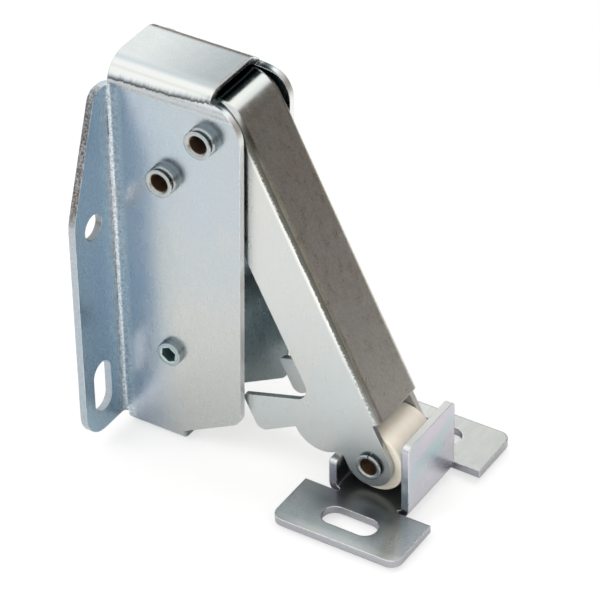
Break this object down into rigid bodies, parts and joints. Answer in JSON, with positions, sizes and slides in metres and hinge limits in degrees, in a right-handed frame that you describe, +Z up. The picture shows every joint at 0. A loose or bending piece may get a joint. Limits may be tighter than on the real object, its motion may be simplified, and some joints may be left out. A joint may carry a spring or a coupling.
{
  "type": "sprung roller latch",
  "caption": "Zinc-plated folded-steel lid latch: a sprung arm with a nylon roller swings out of a flanged housing and works in a two-tab striker plate.",
  "frame": {"origin": "midway between the two round screw holes, on the plane that the flanges are screwed to", "axes": "+X points out of the mounting plane, towards the striker; +Y runs across the latch; +Z is up, towards the folded top"},
  "size_m": [0.0711, 0.0446, 0.0839],
  "materials": {
    "housing_zinc": "bright zinc plate, cool blue-grey",
    "arm_zinc": "bright zinc plate, warm and finely grained on the web",
    "striker_zinc": "bright zinc plate, smooth, faint violet tinge",
    "rivet_zinc": "bright zinc plate, turned and rolled",
    "spring_steel": "oiled spring wire",
    "cream_nylon": "cream nylon, satin",
    "dark_nylon": "black nylon"
  },
  "bodies": {
    "root": {"housing": "housing_zinc", "pivot_bush": "rivet_zinc", "pivot_rivet": "rivet_zinc", "rear_bush": "rivet_zinc", "rear_rivet": "rivet_zinc", "lower_rivet": "rivet_zinc", "stop_sleeve": "dark_nylon", "near_washer": "dark_nylon", "far_washer": "dark_nylon", "main_spring": "spring_steel"},
    "swing_arm": {"arm": "arm_zinc", "roller_axle": "rivet_zinc"},
    "roller": {"roller": "cream_nylon"},
    "striker": {"striker_plate": "striker_zinc"}
  },
  "joints": [
    {"name": "arm_swing", "type": "hinge", "parent": "root", "child": "swing_arm", "pos_m": [0.0227, 0, 0.02315], "axis": [0, 1, 0], "range_deg": [0, 27], "stiffness_Nm_per_rad": 0.8, "springref_deg": -28.65, "deforming": ["main_spring"]},
    {"name": "roller_spin", "type": "hinge", "parent": "swing_arm", "child": "roller", "pos_m": [0.05646, 0, -0.0408], "axis": [0, 1, 0], "continuous": true},
    {"name": "striker_follow", "type": "hinge", "parent": "swing_arm", "child": "striker", "pos_m": [0.05646, 0, -0.0408], "axis": [0, 1, 0], "range_deg": [-27, 0]}
  ],
  "couplings": [
    {"joint": "striker_follow", "follows": "arm_swing", "ratio": -1}
  ]
}
